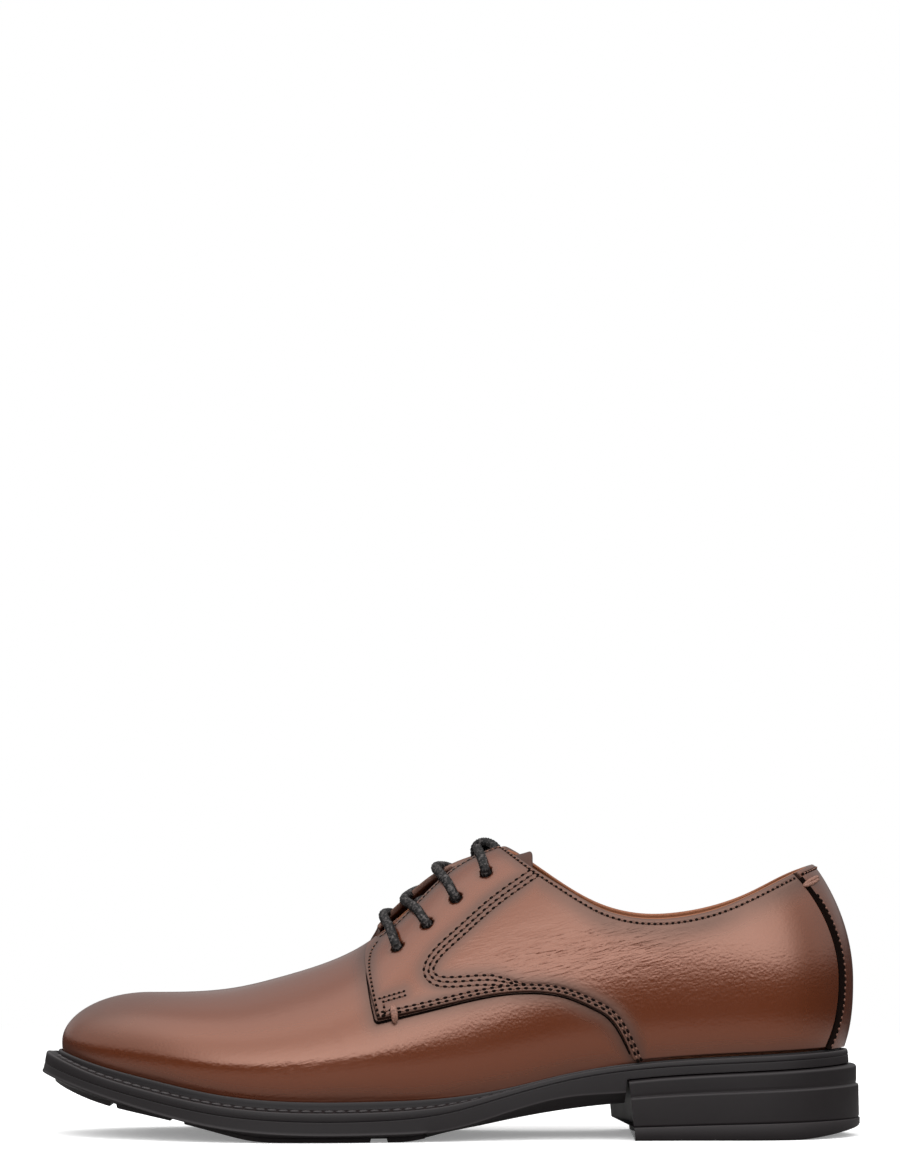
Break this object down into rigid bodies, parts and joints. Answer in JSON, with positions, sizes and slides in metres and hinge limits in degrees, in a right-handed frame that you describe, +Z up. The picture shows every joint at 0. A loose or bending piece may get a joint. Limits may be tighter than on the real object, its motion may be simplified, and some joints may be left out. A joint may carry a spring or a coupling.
{
  "type": "lace-up shoe",
  "caption": "Low derby lace-up shoe for the left foot: burnished tan leather upper with stitched quarters and back strip, round black lace, black rubber welt, sole and block heel.",
  "frame": {"origin": "on the floor under the middle of the shoe's bounding box", "axes": "+X from toe to heel, +Y from the lateral to the medial side, +Z up from the floor"},
  "size_m": [0.302, 0.1034, 0.1096],
  "materials": {
    "upper_leather": "burnished satin calf",
    "tongue_leather": "satin calf",
    "insole_leather": "plain lining leather",
    "sole_rubber": "moulded satin rubber",
    "lace_cotton": "round waxed braid"
  },
  "bodies": {
    "root": {"upper": "upper_leather", "quarter_lateral": "upper_leather", "quarter_medial": "upper_leather", "back_strip": "upper_leather", "tongue": "tongue_leather", "insole": "insole_leather", "outsole": "sole_rubber", "welt": "sole_rubber", "heel": "sole_rubber", "top_lift": "sole_rubber", "lace_bar_1": "lace_cotton", "lace_bar_2": "lace_cotton", "lace_bar_3": "lace_cotton", "lace_bar_4": "lace_cotton"}
  },
  "joints": []
}
